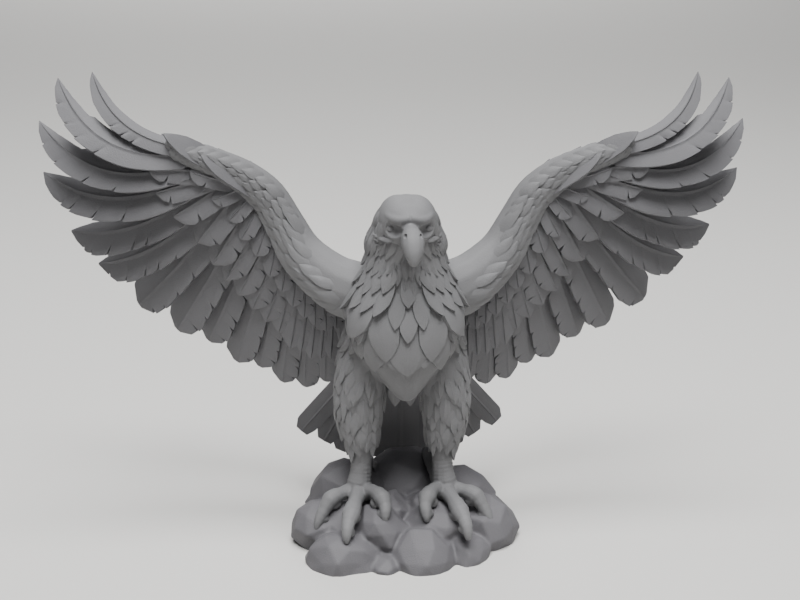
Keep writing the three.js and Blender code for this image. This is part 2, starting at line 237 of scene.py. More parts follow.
# pads under the toes as x, y, z, half width, half depth, half height
PADS = (
    (29.6, -10.6, 19.6, 3.4, 3.4, 2.6), (34.4, -14.4, 14.4, 2.9, 2.8, 2.2), (21.8, -21, 17.6, 3.2, 3.8, 2.6),
    (24.2, -29, 14.8, 2.6, 2.8, 2.2), (11.4, -15.6, 21.4, 3.2, 3.2, 2.8), (9.6, -21.2, 18.8, 2.6, 2.6, 2.4),
)
ARM = (
    (12, 1, 106, 14), (20, 3, 110, 13), (30, 6, 114.5, 11.4), (41.5, 10, 124.5, 9.4),
    (48.5, 12, 137, 8), (55.5, 13, 149, 7.4), (65.5, 13, 157.5, 6.6), (78, 11.5, 164, 5.6),
    (90, 10.3, 169, 4.2), (97, 10, 172.3, 2.6),
)
ARM_FLATNESS = 0.8
SHANK_RINGS, TOE_RINGS = {"ripple": 0.035, "ripples": 14}, {"ripple": 0.03, "ripples": 9}


def level_rings(rings, sides=24):
    """A stack drawn up ring by ring from its lowest or highest end."""
    x, y, z, wide, deep = rings[0]
    bpy.ops.mesh.primitive_circle_add(vertices=sides, radius=MM, fill_type="NGON")
    stack = bpy.context.object
    bpy.ops.object.mode_set(mode="EDIT")
    bpy.ops.mesh.select_all(action="SELECT")
    bpy.ops.transform.resize(value=(wide, deep, 1), center_override=(0, 0, 0))
    bpy.ops.transform.translate(value=mm(x, y, z))
    for before, ring in zip(rings, rings[1:]):
        step = mm(*ring[:3]) - mm(*before[:3])
        bpy.ops.mesh.extrude_region_move(TRANSFORM_OT_translate={"value": step})
        size = (ring[3] / before[3], ring[4] / before[4], 1)
        bpy.ops.transform.resize(value=size, center_override=mm(*ring[:3]))
    bpy.ops.mesh.select_all(action="SELECT")
    bpy.ops.mesh.normals_make_consistent(inside=False)
    bpy.ops.object.mode_set(mode="OBJECT")
    finish_with(stack, "SUBSURF", levels=1, render_levels=1)
    return stack


def lump(x, y, z, wide, deep, high):
    """A smooth egg-shaped lump."""
    bpy.ops.mesh.primitive_uv_sphere_add(segments=32, ring_count=20, radius=MM)
    ball = bpy.context.object
    bpy.ops.object.mode_set(mode="EDIT")
    bpy.ops.mesh.select_all(action="SELECT")
    bpy.ops.transform.resize(value=(wide, deep, high), center_override=(0, 0, 0))
    bpy.ops.transform.translate(value=mm(x, y, z))
    bpy.ops.object.mode_set(mode="OBJECT")
    return ball


def along(points, t):
    """A place on the smooth line through the points; t runs 0 to 1."""
    points = [Vector(p) for p in points]
    spot = min(max(t, 0.0), 1.0) * (len(points) - 1)
    k = min(int(spot), len(points) - 2)
    f = spot - k
    b, c = points[k], points[k + 1]
    a = points[k - 1] if k else 2 * b - c
    d = points[k + 2] if k + 2 < len(points) else 2 * c - b
    return 0.5 * (2 * b + (c - a) * f + (2 * a - 5 * b + 4 * c - d) * f * f
                  + (3 * b - a - 3 * c + d) * f ** 3)


def rod(points, flatness=1.0, steps=24, ripple=0.0, ripples=0):
    """A round rod of changing thickness, flattened front to back if asked; `ripple` rings it."""
    bpy.ops.curve.primitive_nurbs_path_add()
    path = bpy.context.object
    line = path.data.splines[0]
    line.type = "POLY"
    line.points.add(steps + 1 - len(line.points))
    for k, spot in enumerate(line.points):
        x, y, z, thick = along(points, k / steps)
        spot.co = (x * MM, y * MM / flatness, z * MM, 1)
        spot.radius = thick * (1 + ripple * sin(2 * pi * ripples * k / steps))
    path.data.bevel_depth = MM
    path.data.bevel_resolution = 4
    path.data.use_fill_caps = True
    alone(path)
    bpy.ops.object.convert(target="MESH")
    made = bpy.context.object
    bpy.ops.object.mode_set(mode="EDIT")
    bpy.ops.mesh.select_all(action="SELECT")
    bpy.ops.mesh.remove_doubles(threshold=0.01 * MM)
    bpy.ops.mesh.normals_make_consistent(inside=False)
    bpy.ops.transform.resize(value=(1, flatness, 1), center_override=(0, 0, 0))
    bpy.ops.object.mode_set(mode="OBJECT")
    return made


def other_side(piece):
    """A mirrored copy for the bird's other side."""
    alone(piece)
    bpy.ops.object.duplicate()
    copy = bpy.context.object
    bpy.ops.object.mode_set(mode="EDIT")
    bpy.ops.mesh.select_all(action="SELECT")
    bpy.ops.transform.resize(value=(-1, 1, 1), center_override=(0, 0, 0))
    bpy.ops.mesh.flip_normals()
    bpy.ops.object.mode_set(mode="OBJECT")
    return copy


side_rods = [rod(THIGH), rod(ARM, ARM_FLATNESS, 40)]
side_rods += [other_side(piece) for piece in side_rods]
form = joined([level_rings(TRUNK), level_rings(RUMP)] + side_rods, "form")
moulded(form, 0.9, 8)
feet = [rod(SHANK, steps=90, **SHANK_RINGS)]
feet += [rod(toe, steps=70, **TOE_RINGS) for toe in TOES] + [lump(*pad) for pad in PADS]
feet += [other_side(piece) for piece in feet]
feet = joined(feet, "feet")
moulded(feet, 0.45, 1)

# ---- Head ----
# A smooth cap with heavy brows over deep-set eyes, and a short hooked beak. The face is
# plain resin too, so only the carved shapes and two drilled nostrils mark it.
# lumps as x, y, z, half width, half depth, half height
CAP = ((3.4, -11.5, 143.6, 8.8, 15.6, 10.3), (0, -11.5, 144, 9, 15.4, 10.1),
       (0, -18.3, 147.4, 9.4, 8.4, 5.2))
CHEEKS = (0, -7.5, 134.5, 15.2, 12.4, 12.5)
SOCKET = (8.6, -27.2, 143.2, 5.4, 5.6, 4.0)
EYEBALL = (7.6, -20.6, 142.8, 2.1, 2.1, 1.9)
NOSTRIL_AT, NOSTRIL_SIZE = (3.1, 143.7), (0.85, 1.6, 1.0)
BROW = ((0, -26, 148, 1.8), (4.2, -25, 147, 2.0), (7.4, -22, 147.4, 1.8),
        (9.2, -15.6, 148.4, 1.3), (8.6, -8, 148.6, 1.0))
BEAK = ((0, -20, 142.4, 3.2), (0, -26.5, 143, 3.2), (0, -31.5, 141.8, 4.4), (0, -35.6, 140.6, 4.7),
        (0, -38.8, 137.4, 3.9), (0, -40.4, 134.6, 2.5), (0, -40.6, 132.6, 1.4))
MOUTH = (0, -26, 140.4, 2.8, 5.4, 2.6)
ROUGH_GRAIN, FINE_GRAIN, SLIVER = 0.6, 0.45, 0.02
JAW = ((0, -19, 137.2, 4.6), (0, -27, 136.6, 3.6), (0, -33.5, 136.4, 2.2), (0, -36.5, 136.4, 1.3))


def worked_with(piece, tools, how):
    """Unite tools with a piece, or cut them from it, and clear them away."""
    shelf = bpy.data.collections.new("tools")
    for tool in tools:
        shelf.objects.link(tool)
    finish_with(piece, "BOOLEAN", operand_type="COLLECTION", collection=shelf,
                operation=how, solver="MANIFOLD")
    bpy.ops.object.mode_set(mode="EDIT")
    bpy.ops.mesh.select_all(action="SELECT")
    bpy.ops.mesh.dissolve_degenerate(threshold=SLIVER * MM)
    bpy.ops.object.mode_set(mode="OBJECT")
    for tool in tools:
        bpy.data.meshes.remove(tool.data)
    bpy.data.collections.remove(shelf)


caps = [lump(*sizes) for sizes in CAP]
caps += [other_side(caps[0])]
head = joined(caps + [lump(*CHEEKS)], "head")
finish_with(head, "REMESH", mode="VOXEL", voxel_size=ROUGH_GRAIN * MM)
sockets = [lump(*SOCKET)]
sockets += [other_side(sockets[0])]
worked_with(head, sockets, "DIFFERENCE")
brows = [rod(BROW, steps=30)]
brows += [other_side(brows[0])]
head = joined([head, rod(BEAK, steps=40), rod(JAW), lump(*MOUTH)] + brows, "head")
moulded(head, FINE_GRAIN, 5)
eyes = [lump(*EYEBALL)]
eyes += [other_side(eyes[0])]
worked_with(head, eyes, "UNION")


def skin_of(pieces):
    """One probe surface for several pieces."""
    points, faces = [], []
    for piece in pieces:
        first = len(points)
        points += [v.co.copy() for v in piece.data.vertices]
        faces += [[first + v for v in face.vertices] for face in piece.data.polygons]
    return BVHTree.FromPolygons(points, faces)


def touch(skin, place, heading, reach=120):
    """Where a probe first meets the skin from outside, and the skin's facing there."""
    heading = Vector(heading).normalized()
    start = (Vector(place) - heading * reach) * MM
    spot, facing, _, _ = skin.ray_cast(start, heading)
    if spot is None or facing.dot(heading) > 0:
        return None, None
    return spot / MM, facing


side, level = NOSTRIL_AT
hole, _ = touch(skin_of([head]), (side, 0, level), (0, 1, 0))
nostrils = [lump(*hole, *NOSTRIL_SIZE)]
nostrils += [other_side(nostrils[0])]
worked_with(head, nostrils, "DIFFERENCE")

# ---- Feather patterns ----
# Each kind of feather is carved once, flat, with its shaft raised and its torn edge cut in.
# The pieces below are copies of these, each bent to its own place.
# outlines as (share of length, share of half width) for the leading and trailing edges
FLIGHT_COLUMNS = (-1, -0.6, -0.2, -0.12, 0, 0.1, 0.18, 0.45, 0.75, 1)
COVERT_COLUMNS = (-1, -0.6, -0.22, -0.12, 0, 0.12, 0.22, 0.6, 1)
LEAF_COLUMNS = (-1, -0.55, 0, 0.55, 1)
# half a slit's mouth in mm, and how far and how deep the edge steps in beyond it
SLIT, STEP_LENGTH, STEP_DEPTH = 0.55, 0.09, 0.07
# a narrow end is flatter, the last stretch thins to this share, and barbs sweep forward
FLATTENING, TIP_THINNESS, THINNING_RUN, BARB_RUN = 1.8, 0.35, 7, 4
SHALLOW_SIDE, LEAST_WIDTH = 0.25, 0.02
tearing = Random(5)


def outline(points, u):
    """The half width at a share of the length."""
    for (a, low), (b, high) in zip(points, points[1:]):
        if u <= b:
            return low + (high - low) * (u - a) / (b - a)
    return points[-1][1]


def pattern(name, length, width, leading, trailing, columns, steps=12, slits=(), shaft=0.0,
            ridge=0.0, cup=0.0, barbs=0.0, thick=1.4, rim=0.25):
    """A flat feather lying along X with its trailing edge towards +Y and its face up."""
    stations = {k / steps for k in range(steps + 1)}
    for at, _ in slits:
        mouth = {at - SLIT / length, at, at + SLIT / length}
        stations = {s for s in stations if abs(s - at) > 0.02} | mouth
    stations = sorted(stations)
    rows, bands = len(stations) - 1, len(columns) - 1
    bpy.ops.mesh.primitive_grid_add(x_subdivisions=rows, y_subdivisions=bands, size=1)
    feather = bpy.context.object
    feather.name = feather.data.name = name
    spots = [(round((v.co.x + 0.5) * rows), round((v.co.y + 0.5) * bands))
             for v in feather.data.vertices]
    bpy.ops.object.mode_set(mode="EDIT")

    def pick(wanted):
        mesh = bmesh.from_edit_mesh(feather.data)
        bpy.ops.mesh.select_all(action="DESELECT")
        mesh.verts.ensure_lookup_table()
        for vert, spot in zip(mesh.verts, spots):
            vert.select_set(wanted(*spot))
        mesh.select_flush_mode()

    for band, across in enumerate(columns):
        pick(lambda row, b: b == band)
        bend = cup if across < 0 else SHALLOW_SIDE * cup
        rise = -bend * across * across - ridge * abs(across) + (0 if across else shaft)
        start = band / bands - 0.5
        bpy.ops.transform.translate(value=(0, across / 2 - start, rise * MM))
    bpy.ops.mesh.select_all(action="SELECT")
    bpy.ops.transform.resize(value=(length * MM, width * MM, 1), center_override=(0, 0, 0))
    for row, at in enumerate(stations):
        here = (row / rows - 0.5) * length * MM
        pick(lambda r, b: r == row)
        bpy.ops.transform.translate(value=(at * length * MM - here, 0, 0))
        widest = 0
        for side, edge in ((-1, leading), (1, trailing)):
            share = outline(edge, at)
            widest = max(widest, share)
            for place, depth in slits:
                if depth * side > 0 and at == place:
                    share *= 1 - abs(depth)
                elif depth * side > 0 and place < at < place + STEP_LENGTH:
                    share *= 1 - STEP_DEPTH * (1 - (at - place) / STEP_LENGTH)
            pick(lambda r, b: r == row and columns[b] * side > 0)
            bpy.ops.transform.resize(value=(1, max(share, LEAST_WIDTH), 1), center_override=(0, 0, 0))
        pick(lambda r, b: r == row)
        flat = min(1, FLATTENING * widest)
        bpy.ops.transform.resize(value=(1, 1, flat), center_override=(0, 0, 0))
    bpy.ops.object.mode_set(mode="OBJECT")
    finish_with(feather, "SOLIDIFY", thickness=thick * MM, offset=-1, use_even_offset=False)
    for vert in feather.data.vertices:
        at = min(1.0, max(0.0, vert.co.x / (length * MM)))
        room = outline(trailing if vert.co.y > 0 else leading, at) * width / 2 * MM
        vert.co.y = max(-room, min(room, vert.co.y))
        reach = 1 - at
        vert.co.x += barbs * abs(vert.co.y) * min(1.0, BARB_RUN * reach)
        thinned = (1 - TIP_THINNESS) * (1 - min(1.0, THINNING_RUN * reach) ** 0.5)
        vert.co.z *= 1 - thinned
    if rim:
        finish_with(feather, "BEVEL", width=rim * MM, segments=1, limit_method="ANGLE",
                    angle_limit=radians(55))
    feather.hide_render = True
    feather["size"] = (length * MM, width * MM)
    return feather


def tears(count, first, last, depth):
    """Slits torn in the trailing edge at uneven places, some deeper than others."""
    gap = (last - first) / count
    return [(first + gap * (k + tearing.uniform(0.15, 0.85)), depth * tearing.uniform(0.6, 1.3))
            for k in range(count)]


blade = pattern(
    "blade", 60, 12, ((0, 0.7), (0.5, 0.72), (0.8, 0.5), (0.93, 0.26), (1, 0.02)),
    ((0, 0.8), (0.5, 0.95), (0.75, 0.8), (0.9, 0.5), (0.97, 0.24), (1, 0.02)), FLIGHT_COLUMNS, 20,
    ((0.34, 0.4), (0.43, 0.45), (0.53, 0.38)), 0.55, 0.5, 0.8, 0.55, 2.1)
fingers = [pattern(
    f"finger {k}", 68, 14,
    ((0, 0.7), (0.5, 0.76), (0.655, 0.74), (0.66, 0.56), (0.8, 0.46), (0.93, 0.24), (1, 0.02)),
    ((0, 0.8), (0.3, 1), (0.6, 1.04), (0.76, 0.92), (0.88, 0.66), (0.96, 0.34), (1, 0.02)),
    FLIGHT_COLUMNS, 22, tears(4, 0.36, 0.92, 0.36), 0.5, 0.2, 1.1, 0.6, 2.1) for k in range(3)]
oars = [pattern(
    f"oar {k}", 64, 15, ((0, 0.7), (0.5, 0.7), (0.86, 0.45), (0.95, 0.24), (1, 0.03)),
    ((0, 0.8), (0.35, 1), (0.74, 1.16), (0.86, 1.0), (0.94, 0.6), (1, 0.05)), FLIGHT_COLUMNS, 22,
    tears(5, 0.42, 0.96, 0.34), 0.45, 0.15, 1.2, 0.6, 2.1) for k in range(3)]
vanes = [pattern(
    f"vane {k}", 52, 15, ((0, 0.8), (0.4, 0.95), (0.88, 1), (0.94, 0.9), (0.985, 0.5), (1, 0.2)),
    ((0, 0.8), (0.4, 1), (0.86, 1.02), (0.94, 0.84), (0.985, 0.5), (1, 0.2)), FLIGHT_COLUMNS, 20,
    tears(4, 0.5, 0.97, 0.34), 0.4, 0.1, 1.3, 0.4, 2.1) for k in range(3)]
blunt = pattern(
    "blunt", 62, 14, ((0, 0.7), (0.4, 0.95), (0.92, 1.05), (0.975, 0.92), (1, 0.6)),
    ((0, 0.7), (0.4, 0.95), (0.88, 1.05), (0.96, 0.84), (1, 0.6)), FLIGHT_COLUMNS, 16,
    ((0.9, 0.16),), 0.6, 0.3, 0.7, 0.2, 2.0)
ovals = [pattern(
    f"oval {k}", 24, 9, ((0, 0.9), (0.4, 1), (0.75, 0.94), (0.92, 0.6), (1, 0.1)),
    ((0, 0.9), (0.45, 1), (0.78, 0.97), (0.93, 0.6), (1, 0.1)), COVERT_COLUMNS, 12,
    tears(1, 0.6, 0.9, 0.42), 0.6, 0.25, 0.5, 0.3, 1.7) for k in range(2)]
roofs = [pattern(
    f"roof {k}", 34, 9, ((0, 1), (0.4, 1), (0.86, 1), (0.955, 0.5), (1, 0.08)),
    ((0, 1), (0.4, 1), (0.83, 1), (0.94, 0.55), (1, 0.08)), COVERT_COLUMNS, 14,
    tears(2, 0.55, 0.95, 0.4), 0.55, 0.75, 0.2, 0.25, 1.7) for k in range(2)]
leaf = pattern(
    "leaf", 15, 6.5, ((0, 0.6), (0.35, 0.95), (0.6, 0.95), (0.85, 0.5), (1, 0.06)),
    ((0, 0.6), (0.35, 0.95), (0.6, 1), (0.85, 0.55), (1, 0.06)), LEAF_COLUMNS, 8, (), 0.1, 0.5,
    0.3, 0.1, 2.2, 0.2)
plate = pattern(
    "plate", 20, 12, ((0, 0.9), (0.5, 1), (0.72, 0.84), (0.92, 0.36), (1, 0.04)),
    ((0, 0.9), (0.5, 1), (0.72, 0.88), (0.92, 0.4), (1, 0.04)), COVERT_COLUMNS, 10, (), 0.0, 0.0,
    0.2, 0.0, 2.0, 0.3)
scale = pattern(
    "scale", 8, 5, ((0, 0.7), (0.4, 1), (0.7, 0.8), (0.9, 0.4), (1, 0.06)),
    ((0, 0.7), (0.4, 1), (0.7, 0.86), (0.9, 0.44), (1, 0.06)), LEAF_COLUMNS, 6, (), 0.1, 0.3, 0.1,
    0.1, 1.6, 0.2)


def laid(kind, root, tip, width, facing, tilt=0.0, bow=0.0, belly=0.0, cup=0.0, over=None):
    """A copy of a feather bent from root to tip, over a middle place if one is given."""
    feather = kind.copy()
    feather.data = kind.data.copy()
    feather.hide_render = False
    length, breadth = kind["size"]
    root, tip = Vector(root) * MM, Vector(tip) * MM
    shaft = tip - root
    face = (Vector(facing) - Vector(facing).project(shaft)).normalized()
    turn = Matrix.Rotation(-tilt, 3, shaft.normalized())
    face = turn @ face
    side = shaft.cross(face).normalized()
    knee = (root + tip) / 2 + (side * bow + face * belly) * 2 * MM
    if over is not None:
        knee = 2 * over * MM - (root + tip) / 2
    for vert in feather.data.vertices:
        u, v, w = vert.co.x / length, vert.co.y / breadth, vert.co.z
        at = (1 - u) ** 2 * root + 2 * u * (1 - u) * knee + u * u * tip
        run = (2 * (1 - u) * (knee - root) + 2 * u * (tip - knee)).normalized()
        out = (face - face.project(run)).normalized()
        off = run.cross(out)
        vert.co = at + off * (v * width * MM) + out * (w - cup * 4 * v * v * MM)
    feather.data.flip_normals()
    return feather


def opposite(feather):
    """The same feather on the bird's other side."""
    twin = feather.copy()
    twin.data = feather.data.copy()
    twin.data.transform(Matrix.Diagonal((-1, 1, 1, 1)))
    twin.data.flip_normals()
    return twin


# ---- Feathers of head, neck, breast and back ----
# Long pointed hackles hang from the face and nape in overlapping rows, over broad plates
# that close the breast to a V. Smaller plates cover the back down to the tail.
# rows as count, root height, tip height, width, stand-off at the tip, first angle (degrees)
HACKLES = (
    (15, 150, 141.5, 3.6, 1.1, 66), (15, 147, 135.5, 4.0, 1.7, 50), (15, 142.5, 129.5, 4.6, 2.5, 34),
    (13, 137.5, 123, 5.4, 2.9, 30), (11, 131, 115.5, 6.8, 3.3, 32), (9, 124, 106.5, 8.8, 3.6, 38),
)
# strands fanning from the corner of the beak, as tip x, z, in a lower and an upper layer
GAPE_ROOT = (5, 138.4)
GAPE = ((15, 139.6), (14.8, 137.8), (14.4, 135.4), (13.6, 132.8), (12.4, 130.2), (10.6, 127.4),
        (8.4, 125), (6.2, 123), (4, 121.6))
SWEEP = 20
# plates listed as root x, z, tip x, z, width, stand-off; the second half is mirrored
MIDDLE_PLATES = (
    (0, 122, -0.4, 110.5, 6.4, 2.0), (0, 112, -0.6, 97.2, 7.6, 2.6), (0, 106, -0.6, 82.8, 17, 2.0),
    (0, 100, 0, 68.6, 42, 1.6),
)
SIDE_PLATES = (
    (4.2, 118, 5.4, 102, 7, 2.3), (11.5, 112, 8.4, 88.6, 13.5, 2.3), (17, 117, 21, 96, 16, 3.4),
    (16, 100, 12.6, 83.2, 12, 1.9), (7, 94, 5.8, 85.6, 6, 1.9), (11.6, 95, 10.6, 86.4, 6.5, 2.0),
)
BACK_ROWS, BACK_SPREAD = ((8, 122, 108, 9, 1.6), (8, 114, 100, 10, 1.9)), 62
RUMP_ROWS = ((7, 108, 94, 9, 17), (6, 102, 88, 9, 14), (6, 95, 81.5, 9, 13.5), (5, 88, 75.5, 8.4, 10.5),
             (4, 81.5, 70, 8, 7), (3, 75, 64.5, 8, 4))
RUMP_LIFT = 2.4
FLANK_ROWS = ((114, 101), (106, 93), (98, 85.5))
# flank plates: first angle, step and shift of every other row (degrees), width, stand-off
FLANK_COUNT, FLANK_FIRST, FLANK_STEP, FLANK_SHIFT, FLANK_WIDTH, FLANK_LIFT = 6, 64, 11, 5, 7.5, 1.8
UNDERTAIL = ((3, -6, 74, 3.4, -4, 60.5), (8.5, -4, 75, 9, 0, 61.5))
NECK_AXIS = (0, -6)
# short strands down the throat as root x, z, tip x, z, mirrored
THROAT = ((1.2, 132, 1.2, 121), (3.4, 130.5, 4.6, 118.5), (0.9, 125, 1.8, 113.5))
THROAT_WIDTH, THROAT_LIFT, UNDERTAIL_WIDTH = 3.4, 1.3, 6.5
GAPE_TOP, GAPE_WIDTH, GAPE_LIFT, NEAR_WIDTH, NEAR_LIFT = 137, 2.2, 1.7, 1.9, 2.3
# a hung feather's root sinks this far, its middle stands off, and none is longer than this
ROOT_SINK, MIDDLE_LIFT, LONGEST, CUPPING = 0.9, 0.35, 26, 170


def round_neck(angle, height, lift):
    """A place on the neck or trunk by angle from the front and height."""
    heading = Vector((sin(angle), -cos(angle), 0))
    spot, _ = touch(body_skin, (*NECK_AXIS, height), -heading, 28)
    return (spot and spot + heading * lift), heading


def on_breast(x, z, lift):
    """A place on the front of the breast straight behind x and z."""
    spot, facing = touch(body_skin, (x, 0, z), (0, 1, 0))
    return (spot and spot + facing * lift), facing


def on_back(x, z, lift):
    """A place on the back or rump straight before x and z."""
    spot, facing = touch(body_skin, (x, 0, z), (0, -1, 0))
    return (spot and spot + facing * lift), facing


def between(a, b):
    return [(p + q) / 2 for p, q in zip(a, b)]


def hung(kind, where, root, tip, width, lift, tilt=0.0):
    """A feather following the skin: `where` finds a place from two sizes and a stand-off."""
    start, _ = where(*root, -ROOT_SINK)
    over, facing = where(*between(root, tip), MIDDLE_LIFT + lift * 0.5)
    end, _ = where(*tip, lift)
    if None in (start, over, end) or (end - start).length > LONGEST:
        return []
    return [laid(kind, start, end, width, facing, tilt, over=over, cup=width * width / CUPPING)]


body_skin = skin_of([form, head])
body_feathers = []
rng = Random(7)
for row, (count, root_z, tip_z, width, lift, first) in enumerate(HACKLES):
    for k in range(count):
        angle = radians(first + (180 - first) * k / (count - 0.5))
        sweep = radians(SWEEP) * max(0.0, cos(angle * 0.75)) * (0.5 if row > 3 else 1)
        shift = rng.uniform(-1, 1)
        body_feathers += hung(leaf, round_neck, (angle - sweep, root_z + 0.5 * shift),
                              (angle, tip_z + 1.3 * shift), width * rng.uniform(0.94, 1.1), lift,
                              rng.uniform(-0.2, 0.2))
for x0, z0, x1, z1 in THROAT:
    body_feathers += hung(leaf, on_breast, (x0, z0), (x1, z1), THROAT_WIDTH, THROAT_LIFT)
for x0, z0, x1, z1, width, lift in SIDE_PLATES:
    body_feathers += hung(plate, on_breast, (x0, z0), (x1, z1), width, lift)
for count, root_z, tip_z, width, lift in BACK_ROWS:
    for k in range(count):
        angle = radians(180 - BACK_SPREAD * k / (count - 1))
        body_feathers += hung(plate, round_neck, (angle, root_z), (angle, tip_z), width, lift)
for k, (x, z) in enumerate(GAPE):
    strand = scale if z > GAPE_TOP else leaf
    body_feathers += hung(strand, on_breast, GAPE_ROOT, (x, z), GAPE_WIDTH,
                          GAPE_LIFT + 0.5 * (k % 2))
    if k:
        near = between(between(GAPE_ROOT, (x, z)), between(GAPE[k - 1], (x, z)))
        body_feathers += hung(leaf, on_breast, GAPE_ROOT, near, NEAR_WIDTH, NEAR_LIFT)
for count, root_z, tip_z, width, span in RUMP_ROWS:
    for k in range(count):
        x = span * (2 * k / (count - 1) - 1)
        body_feathers += hung(plate, on_back, (x * 0.9, root_z), (x, tip_z), width, RUMP_LIFT)
for row, (root_z, tip_z) in enumerate(FLANK_ROWS):
    for k in range(FLANK_COUNT):
        angle = radians(FLANK_FIRST + FLANK_STEP * k - FLANK_SHIFT * (row % 2))
        body_feathers += hung(plate, round_neck, (angle, root_z), (angle, tip_z), FLANK_WIDTH,
                              FLANK_LIFT)
for x0, y0, z0, x1, y1, z1 in UNDERTAIL:
    body_feathers.append(laid(leaf, (x0, y0, z0), (x1, y1, z1), UNDERTAIL_WIDTH, (0, -1, 0),
                              belly=0.6))

# ---- Leg feathers ----
# The thighs wear low leaf-shaped feathers like shingles, ending in a ragged fringe of
# longer points above the bare, ringed shanks.
THIGH_ROWS = 10
THIGH_TOP, THIGH_BOTTOM = 90, 53
LEAF_DROP, LEAF_WIDTH = 10.0, 4.4
FRINGE, FRINGE_TOP, FRINGE_TIP, FRINGE_WIDTH, FRINGE_LIFT = 9, 56, 45.5, 5.6, 2.4


def on_leg(angle, height, lift):
    """A place on the right thigh by angle from the front and height."""
    spot = min(range(60), key=lambda k: abs(along(THIGH, k / 59)[2] - height))
    x, y, _, _ = along(THIGH, spot / 59)
    heading = Vector((sin(angle), -cos(angle), 0))
    place, _ = touch(body_skin, (x, y, height), -heading, 13.5)
    return (place and place + heading * lift), heading


leg_feathers = []
for row in range(THIGH_ROWS):
    share = row / (THIGH_ROWS - 1)
    top = THIGH_TOP + (THIGH_BOTTOM - THIGH_TOP) * share
    count = 14 if row < 6 else 11
    for k in range(count):
        angle = 2 * pi * (k + 0.5 * (row % 2)) / count + rng.uniform(-0.16, 0.16)
        drop = LEAF_DROP * rng.uniform(0.8, 1.35) + 3 * share
        lift = (0.7 + 1.1 * share) * rng.uniform(0.7, 1.3)
        leg_feathers += hung(leaf, on_leg, (angle, top + rng.uniform(-1.2, 1.2)),
                             (angle + rng.uniform(-0.15, 0.2), top - drop),
                             LEAF_WIDTH * rng.uniform(0.8, 1.2) + 1.2 * share, lift,
                             rng.uniform(-0.25, 0.25))
for k in range(FRINGE):
    angle = 2 * pi * (k + rng.uniform(-0.25, 0.25)) / FRINGE
    leg_feathers += hung(leaf, on_leg, (angle, FRINGE_TOP), (angle, FRINGE_TIP - 3 * rng.random()),
                         FRINGE_WIDTH, FRINGE_LIFT, rng.uniform(-0.2, 0.2))
leg_feathers += [opposite(feather) for feather in leg_feathers]
body_feathers += [opposite(feather) for feather in body_feathers]
for x0, z0, x1, z1, width, lift in MIDDLE_PLATES:
    body_feathers += hung(plate, on_breast, (x0, z0), (x1, z1), width, lift)

# ---- Arm feathers ----
# Small leaf feathers shingle the lower front of each arm and point outwards; longer plates
# close the wrist. The arm's upper face is left smooth, as the sculptor left it.
# rows as share across the arm (1 at its lower edge), first and last share along it
ARM_ROWS = ((-0.5, 0.38, 0.8, 10), (-0.2, 0.28, 0.84, 13), (0.1, 0.2, 0.87, 16), (0.4, 0.14, 0.9, 19),
            (0.7, 0.1, 0.93, 21))
# leaves reach this share of the arm, less beyond the elbow; width, stand-off and tilt
ELBOW, INNER_REACH, OUTER_REACH = 0.45, 0.1, 0.082
ARM_LEAF_WIDTH, ARM_LEAF_LIFT, ARM_LEAF_TILT = 5, 1.5, 0.15
BIRD_TONE, BIRD_GRAIN = (0.15, 0.15, 0.154), 0.16
# a finished piece is thinned to this many triangles where it has more
MOST_TRIANGLES = 195000


def on_arm_side(front):
    """Places on the front (1) or back (-1) of the arm, at shares of its length and breadth."""
    def on_arm(t, across, lift):
        x, _, z, thick = along(ARM, t)
        ahead = along(ARM, min(1, t + 0.02)) - along(ARM, max(0, t - 0.02))
        down = Vector((ahead[2], 0, -ahead[0])).normalized()
        at = Vector((x, 0, z)) + down * across * thick
        spot, facing = touch(body_skin, at, (0, front, 0))
        return (spot and spot + facing * lift), facing
    return on_arm


def covered_with(piece, parts):
    """Set closed parts into a piece, where they lap like shingles, and keep it light."""
    for part in parts:
        if not part.users_collection:
            bpy.context.scene.collection.objects.link(part)
    whole = joined([piece, *parts], piece.name)
    whole.data.calc_loop_triangles()
    triangles = len(whole.data.loop_triangles)
    if triangles > MOST_TRIANGLES:
        finish_with(whole, "DECIMATE", ratio=MOST_TRIANGLES / triangles)
    return whole


arm_feathers = []
for front in (1, -1):
    for row, (across, start, end, count) in enumerate(ARM_ROWS):
        for k in range(count):
            t = start + (end - start) * (k + 0.5 * (row % 2)) / count
            size = (INNER_REACH if t < ELBOW else OUTER_REACH) * rng.uniform(0.85, 1.2)
            arm_feathers += hung(scale, on_arm_side(front), (t, across - 0.2),
                                 (min(1, t + size), min(0.95, across + 0.16)),
                                 ARM_LEAF_WIDTH * rng.uniform(0.9, 1.15), ARM_LEAF_LIFT,
                                 ARM_LEAF_TILT * front)
arm_feathers += [opposite(feather) for feather in arm_feathers]

# The form, its feathers, the feet and the head become one casting.
bird = covered_with(form, body_feathers + leg_feathers + arm_feathers + [feet, head])
hand_over(bird, "eagle_body", resin("bird_resin", BIRD_TONE, BIRD_GRAIN), 38)

